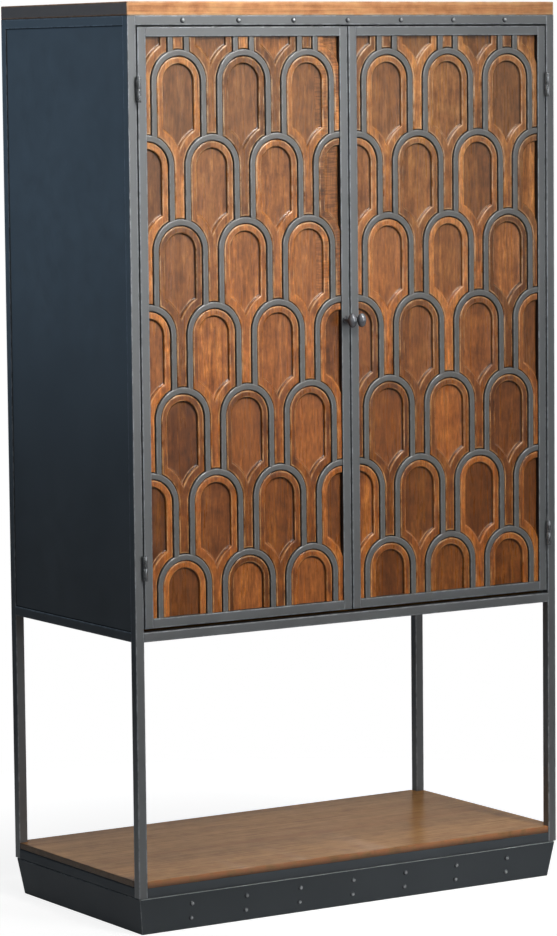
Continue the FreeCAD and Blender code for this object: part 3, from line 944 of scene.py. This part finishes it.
def at_all_arches(name, piece, door_centre, row, finish, seed=0):
    """Copies of a piece at all arches of one door, from a row downwards, as a mesh to work on."""
    copies = lay_out(
        name,
        piece=piece,
        across=arches_across + 1,
        rows=row_count + 1 - row,
        first=Vector((door_centre + row_start(row), 0, spring_line(row))),
        step=Vector((arch_pitch, 0, 0)),
        row_step=Vector((0, 0, -row_pitch)),
        row_shift=Vector((row_start(row + 1) - row_start(row), 0, 0)),
        seed=seed,
        finish=finish,
    )
    return reopen(copies)


def trim(made, low, high):
    """Cuts off what reaches past the opening's sides."""
    for spot, outward in ((low, (-1, 0, 0)), (high, (1, 0, 0)), (low, (0, 0, -1)), (high, (0, 0, 1))):
        cut_through(made, spot, outward, clear_outer=True)


def shade_rim(made, low, high):
    """Marks a strip of painted shadow on the sunk wood along the opening's sides."""
    shade_and_dirt, sunk = [made.verts.layers.float[name] for name in ("shade_and_grime", "sunk")]
    for x in (low.x + rim_width, high.x - rim_width):
        cut_through(made, (x, 0, 0), (1, 0, 0))
    for corner in made.verts:
        if corner[sunk] > 0.5 and min(corner.co.x - low.x, high.x - corner.co.x) < rim_width / 2:
            corner[shade_and_dirt] = rim_shade


def carved_panel(door, cell):
    """The whole panel: cells in rows, cut to the opening, with the groove's floor and a plain back."""
    low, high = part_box(f"{door}_carved_panel")
    centre = (low.x + high.x) / 2
    y_groove = y_door_front + groove_depth
    made = at_all_arches(f"{door}_carving", cell, centre, first_row, door_wood, panel_seeds[door])
    for corner in made.verts:
        if abs(corner.co.y - y_groove) > 1e-5:
            corner.co += hand_waver * noise.noise_vector(corner.co * waver_scale)
    trim(made, low, high)
    shade_rim(made, low, high)
    rectangle = [(low.x, low.z), (high.x, low.z), (high.x, high.z), (low.x, high.z)]
    edge = list(reversed(cell_outline(groove_steps[0][0])))
    loops = [[(x + cx, z + cz) for x, z in edge] for cx, cz in arch_centres(centre)]
    # The groove's floor is painted black, as shade.
    shade_and_dirt = made.verts.layers.float["shade_and_grime"]
    for three in between([rectangle] + loops):
        corners = [made.verts.new((spot.x, y_groove, spot.y)) for spot in three]
        for corner in corners:
            corner[shade_and_dirt] = 1.0
        made.faces.new(corners)
    bmesh.ops.remove_doubles(made, verts=made.verts, dist=5e-6)
    rim = [side for side in made.edges if side.is_boundary]
    drawn_back = bmesh.ops.extrude_edge_only(made, edges=rim)["geom"]
    for corner in drawn_back:
        if isinstance(corner, bmesh.types.BMVert):
            corner.co.y = high.y
            for layer in made.verts.layers.float.values():
                corner[layer] = 0.0
    rear_edges = [side for side in drawn_back if isinstance(side, bmesh.types.BMEdge)]
    bmesh.ops.contextual_create(made, geom=rear_edges)
    bmesh.ops.recalc_face_normals(made, faces=made.faces)
    return made


def sheen_by_height(material, low, high, deep, faded):
    """Paints a sheen into a wood by height: deep in colour below the low height, paler and greyer above the
    high one.
    """
    tree = material.node_tree
    base = tree.nodes["Principled BSDF"].inputs["Base Color"]
    place = add(tree, "ShaderNodeTexCoord").outputs["Object"]
    up = add(tree, "ShaderNodeSeparateXYZ", {"Vector": place}).outputs["Z"]
    change = blend(tree, climb(tree, up, low, high), tint(deep), tint(faded))
    sockets = {0: base.links[0].from_socket, 1: change}
    toned = add(tree, "ShaderNodeVectorMath", sockets, operation="MULTIPLY")
    tree.links.new(toned.outputs[0], base)


door_wood = timber(
    "door_wood", door_browns, door_worn_and_highlit, door_shade, grain=2, stave_axis=0, stave=0.0745,
    roughness=0.27, gloss=0.5, fleck=1.6, curl=(-1, 1.22),
)
# Painted sheen: the doors' wood is paler and greyer towards the top, deeper below.
sheen_by_height(door_wood, low=1.0, high=1.6, deep=(1.0, 0.86, 0.62), faded=(1.0, 1.10, 1.12))
noise.seed_set(waver_seed)
cell = carved_cell()
for door in doors:
    node = f"{door}_carved_panel"
    fit(f"{node}_wood", carved_panel(door, cell), door, door_wood, "door_wood", node)
bpy.data.objects.remove(cell)


# Door grilles: flat steel bars bent into arches, each row set on the crowns of the next, welded to
# each other and to the door frame. Gunmetal paint, rubbed through along the rounded edges, which is
# wear and also a painted highlight; the bars' sides are painted dark, as shade.
bar_round = 0.0017
bar_round_steps = 3
bar_bend_steps = 36
bar_sink = 0.0005
# Painted highlight on the rounded edges, painted shade on the sides.
bar_wear_and_highlight = 0.8
bar_side_shade = 0.6
bar_back = grille_high.y - y_door_front
bar_front = grille_low.y - y_door_front
bar_grey = (0.196, 0.192, 0.186)
rubbed_and_highlit_bar = (0.34, 0.34, 0.34)
grille_paint = satin_paint("grille_paint", bar_grey, rubbed_and_highlit_bar, roughness=0.45)


def bar_section():
    """Outline of a flat bar across its width: place, depth behind the door's front, wear with painted
    highlight, painted shade.
    """
    half = arch_bar / 2
    right = [(half, bar_back, 0.0, 1.0)]
    for place, rise in arc(half - bar_round, 0, bar_round, 0, math.pi / 2, bar_round_steps):
        shade_and_grime = bar_side_shade if rise == 0 else 0.0
        right.append((place, bar_front + bar_round - rise, bar_wear_and_highlight, shade_and_grime))
    right.append((half - 2 * bar_round, bar_front, 0.0, 0.0))
    left = [(-place, *rest) for place, *rest in reversed(right)]
    return right + left


def arch_path(place):
    """One fibre of an arched bar, from the foot of its left leg to the foot of its right one."""
    radius = arch_outer - arch_bar / 2 + place
    foot = -row_pitch + math.sqrt(arch_outer**2 - (arch_pitch / 2 - radius) ** 2) - bar_sink
    return [(-radius, foot)] + arc(0, 0, radius, math.pi, 0, bar_bend_steps) + [(radius, foot)]


def arched_bar():
    """One arch of the grille, its legs cut to sit on the arches below."""
    made, worn, shade_and_dirt = blank("edge", "shade_and_grime")
    fibres = []
    for place, depth, wear, shade_and_grime in bar_section():
        fibre = [made.verts.new((x, y_door_front + depth, z)) for x, z in arch_path(place)]
        for corner in fibre:
            corner[worn], corner[shade_and_dirt] = wear, shade_and_grime
        fibres.append(fibre)
    close_up(made, list(zip(*fibres)))
    return loose_piece("arched_bar", made)


bar = arched_bar()
for door in doors:
    node = f"{door}_arch_grille"
    low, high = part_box(node)
    made = at_all_arches(f"{door}_arches", bar, (low.x + high.x) / 2, 0, grille_paint)
    trim(made, low, high)
    bmesh.ops.holes_fill(made, edges=[side for side in made.edges if side.is_boundary])
    fit(f"{node}_bars", made, door, grille_paint, "grille_paint", node)
bpy.data.objects.remove(bar)


# Panel clips: small steel plates welded inside the door frames behind the panel, each with a
# pan-head screw into the wood. Frame paint on the plates, plain zinc on the screws.
clip_reach = 0.014
clips_each_side = 3
screw_radius = 0.0036
screw_height = 0.0018
screw_sides = 10
screw_steps = ((0.0, 0.0), (1.0, 0.0), (1.0, 0.4), (0.72, 1.0), (0.3, 1.0), (0.0, 0.45))
zinc = (0.46, 0.47, 0.46)
screw_zinc = brushed_steel("screw_zinc", zinc, grain=0)
screw_profile = [(screw_radius * out, screw_height * up) for out, up in screw_steps]
made = bmesh.new()
turned(made, screw_profile, screw_sides, Vector(), Vector((0, 1, 0)))
screw = loose_piece("clip_screw", made)
for door in doors:
    node = f"{door}_panel_clips"
    dress(node, frame_paint)
    low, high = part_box(node)
    step_up = (high.z - low.z) / clips_each_side
    side_rows = {
        "across": 2,
        "rows": clips_each_side,
        "first": Vector((low.x + clip_reach / 2, high.y, low.z + step_up / 2)),
        "step": Vector((high.x - low.x - clip_reach, 0, 0)),
        "row_step": Vector((0, 0, step_up)),
    }
    end_rows = {
        "across": 1,
        "rows": 2,
        "first": Vector(((low.x + high.x) / 2, high.y, low.z + clip_reach / 2)),
        "row_step": Vector((0, 0, high.z - low.z - clip_reach)),
    }
    for place, sizes in (("side", side_rows), ("end", end_rows)):
        screws = lay_out(f"{door}_{place}_clip_screws", piece=screw, finish=screw_zinc, **sizes)
        settle(screws, door, screw_zinc, "bright_steel")
bpy.data.objects.remove(screw)


# Knobs: egg-shaped steel heads on short necks, turned in one piece with a round base and screwed
# on from behind. Blackened, a little polished by hands.
knob_sides = 28
knob_rings = 16
knob_base_radius = 0.0075
knob_base_height = 0.0025
knob_neck_radius = 0.0042
knob_base_steps = ((0.0, 0.0), (1.0, 0.0), (1.0, 0.5), (0.93, 0.85), (0.82, 1.0))
knob_neck_steps = ((1.25, 1.3), (1.0, 2.2))
knob_black = (0.050, 0.052, 0.058)
knob_bright = (0.34, 0.35, 0.38)
knob_steel = rubbed_steel("knob_steel", knob_black, knob_bright, roughness=0.18)


def knob(node):
    """Head, neck and base of one knob, joined into one skin."""
    low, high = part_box(node)
    half_width = (high.x - low.x) / 2
    half_height = (high.z - low.z) / 2
    centre = Vector(((low.x + high.x) / 2, low.y + half_width, (low.z + high.z) / 2))
    head, worn = blank("edge")
    turns = [math.pi * ring / knob_rings for ring in range(1, knob_rings)]
    profile = [(half_width * math.sin(turn), -half_height * math.cos(turn)) for turn in turns]
    profile = [(0.0, -half_height)] + profile + [(0.0, half_height)]
    turned(head, profile, knob_sides, centre, Vector((0, 0, 1)))
    for corner in head.verts:
        corner[worn] = max(0.0, (centre.y - corner.co.y) / half_width)
    stem = bmesh.new()
    reach = high.y - centre.y
    profile = [(knob_base_radius * out, knob_base_height * up) for out, up in knob_base_steps]
    profile += [(knob_neck_radius * out, knob_base_height * up) for out, up in knob_neck_steps]
    profile += [(knob_neck_radius, reach), (0.0, reach)]
    turned(stem, profile, knob_sides, Vector((centre.x, high.y, centre.z)), Vector((0, -1, 0)))
    head_piece = loose_piece("knob_head", head)
    stem_piece = loose_piece("knob_stem", stem)
    union = head_piece.modifiers.new("union", "BOOLEAN")
    union.operation = "UNION"
    union.solver = "EXACT"
    union.object = stem_piece
    made = reopen(freeze(head_piece))
    bpy.data.objects.remove(stem_piece)
    return made


for door in doors:
    node = f"{door}_knob"
    fit(f"{node}_turned", knob(node), door, knob_steel, "dark_hardware", node)


# Hinges: barrel hinges with the pin fixed in the lower half, welded by their fins to post and door.
# Blackened, and rubbed brighter on the round.
barrel_ease = 0.0006
hinge_black = (0.050, 0.052, 0.055)
hinge_bright = (0.32, 0.33, 0.34)
hinge_steel = rubbed_steel("hinge_steel", hinge_black, hinge_bright, roughness=0.22)
hinge_bodies = {"frame_hinge_barrels": "cabinet"} | {f"{door}_hinge_barrels": door for door in doors}
for node, body in hinge_bodies.items():
    fit(f"{node}_turned", eased_copy(node, barrel_ease), body, hinge_steel, "dark_hardware", node)
pin_steel = brushed_steel("pin_steel", plain_steel, grain=2)
dress("hinge_pins", pin_steel)


# Magnetic catches and strikes: black moulded housings screwed behind the top rail, which also stop
# the doors, and a thin plain steel plate on the back of each door for them to hold.
moulded_black = (0.022, 0.022, 0.023)


def moulded_plastic(name, colour, roughness):
    """Moulded plastic with a fine spark-eroded grain."""
    material, tree, place, surface = new_finish(name)
    cloud = speckle(tree, place, 40.0)
    shades = ramp(tree, cloud, (0.3, tint(colour, 0.8)), (0.7, tint(colour, 1.25)))
    lay_on(tree, surface, shades, ramp(tree, cloud, (0.3, roughness - 0.05), (0.7, roughness + 0.08)))
    roughen(tree, surface, speckle(tree, place, 1500.0), 0.2, 0.0002)
    return material


catch_plastic = moulded_plastic("catch_plastic", moulded_black, roughness=0.55)
dress("door_catches", catch_plastic)
for door in doors:
    dress(f"{door}_strike_plate", rail_steel)


# Studio: pale paper on the floor and a white backdrop opposite the camera. A broad lamp in front to
# the right, narrow beams on the doors and the bay shelf, one overhead, two at the left, one at the
# right side and one behind.
paper = (0.30, 0.30, 0.30)
paper_radius = 1.5
paper_sides = 96
paper_glow = 0.86
paper_in_gloss = 0.25
glow_start = 0.7
glow_end = paper_radius * 0.9
room_light = (0.032, 0.034, 0.036)
backdrop_start = 0.75
backdrop_end = 0.95


def seen_rays(tree, in_gloss):
    """One for rays from the camera or through glass, a share for those from a gloss, nought for others."""
    path = add(tree, "ShaderNodeLightPath").outputs
    first = reckon(tree, "MAXIMUM", path["Is Camera Ray"], path["Is Transmission Ray"])
    return reckon(tree, "MAXIMUM", first, reckon(tree, "MULTIPLY", path["Is Glossy Ray"], in_gloss))


made = bmesh.new()
made.faces.new([made.verts.new((x, y, 0.0)) for x, y in circle(0, 0, paper_radius, paper_sides)])
floor = loose_piece("floor_paper", made)
material = bpy.data.materials.new("floor_paper")
tree = cleared(material)
place = add(tree, "ShaderNodeTexCoord").outputs["Object"]
distance = add(tree, "ShaderNodeVectorMath", {0: place}, operation="LENGTH").outputs["Value"]
mottle = speckle(tree, place, 300.0)
shades = ramp(tree, mottle, (0.3, tint(paper, 0.96)), (0.7, tint(paper, 1.04)))
matt = add(tree, "ShaderNodeBsdfDiffuse", {"Color": shades})
fade = climb(tree, distance, glow_start, glow_end, paper_glow, 1.0)
strength = reckon(tree, "MULTIPLY", fade, seen_rays(tree, paper_in_gloss))
glow = add(tree, "ShaderNodeEmission", {"Strength": strength})
both = add(tree, "ShaderNodeAddShader", {0: matt.outputs[0], 1: glow.outputs[0]})
add(tree, "ShaderNodeOutputMaterial", {"Surface": both.outputs[0]})
floor.data.materials.append(material)

camera_turn = math.radians(32.395)
camera_dip = math.radians(5.835)
camera_roll = math.radians(0.593)
camera_spot = Vector((-4.2761, -6.7017, 1.6896))
camera_lens = 148.8
camera_film = 36.0
level, dip = math.cos(camera_dip), math.sin(camera_dip)
forward = Vector((math.sin(camera_turn) * level, math.cos(camera_turn) * level, -dip))
level_right = Vector((math.cos(camera_turn), -math.sin(camera_turn), 0.0))
downward = forward.cross(level_right)
right = level_right * math.cos(camera_roll) + downward * math.sin(camera_roll)
upward = level_right * math.sin(camera_roll) - downward * math.cos(camera_roll)
aim = Matrix((right, upward, -forward)).transposed().to_4x4()
camera = bpy.data.objects.new("camera", bpy.data.cameras.new("camera"))
camera.data.lens = camera_lens
camera.data.sensor_width = camera_film
camera.matrix_world = Matrix.Translation(camera_spot) @ aim
bpy.context.scene.collection.objects.link(camera)
bpy.context.scene.camera = camera

world = bpy.data.worlds.new("studio")
bpy.context.scene.world = world
tree = cleared(world)
outlook = add(tree, "ShaderNodeTexCoord").outputs["Generated"]
facing = add(tree, "ShaderNodeVectorMath", {0: outlook, 1: forward}, operation="DOT_PRODUCT")
opposite = climb(tree, facing.outputs["Value"], backdrop_start, backdrop_end)
colour = blend(tree, seen_rays(tree, opposite), tint(room_light), tint(1.0))
background = add(tree, "ShaderNodeBackground", {"Color": colour})
add(tree, "ShaderNodeOutputWorld", {"Surface": background.outputs[0]})


def lamp(name, spot, target, size, power, colour=(1.0, 1.0, 1.0), spread=180):
    """A flat soft lamp, turned to a target, with its beam held in to an angle."""
    made = bpy.data.objects.new(name, bpy.data.lights.new(name, "AREA"))
    made.data.shape = "RECTANGLE"
    made.data.size, made.data.size_y = size
    made.data.spread = math.radians(spread)
    made.data.energy = power
    made.data.color = colour
    aim = (Vector(target) - Vector(spot)).to_track_quat("-Z", "Y").to_matrix().to_4x4()
    made.matrix_world = Matrix.Translation(spot) @ aim
    bpy.context.scene.collection.objects.link(made)


lamp("wall_panel", (1.7, -5.0, 1.65), (1.2, -0.25, 1.65), (3.4, 1.9), 43.0, (0.95, 0.98, 1.0))
lamp("key_lamp", (0.2, -2.9, 3.3), (-0.42, -0.25, 1.4), (0.8, 0.8), 6.8, (1.0, 0.98, 0.95), spread=46)
lamp("shelf_lamp", (0.9, -3.2, 3.4), (0.36, -0.15, 0.02), (0.5, 0.5), 0.8, (1.0, 0.99, 0.98), spread=20)
lamp("overhead_lamp", (-0.3, -1.0, 3.2), (-0.3, -0.3, 1.2), (1.4, 0.4), 9.0, spread=120)
lamp("left_panel", (-2.6, 3.4, 1.9), (-0.5, 0.0, 1.9), (3.0, 2.2), 9.8, (0.42, 0.69, 1.0))
lamp("left_strip", (-3.6, -3.4, 2.3), (-0.2, -0.25, 1.2), (0.5, 2.2), 14.0, (0.90, 0.96, 1.0))
lamp("right_panel", (3.4, -0.6, 1.9), (0.5, 0.0, 1.4), (2.0, 2.2), 12.0)
lamp("rear_lamp", (2.4, 3.0, 2.6), (0.2, 0.25, 0.9), (1.2, 1.0), 16.0)

bpy.context.scene.view_settings.view_transform = "Standard"
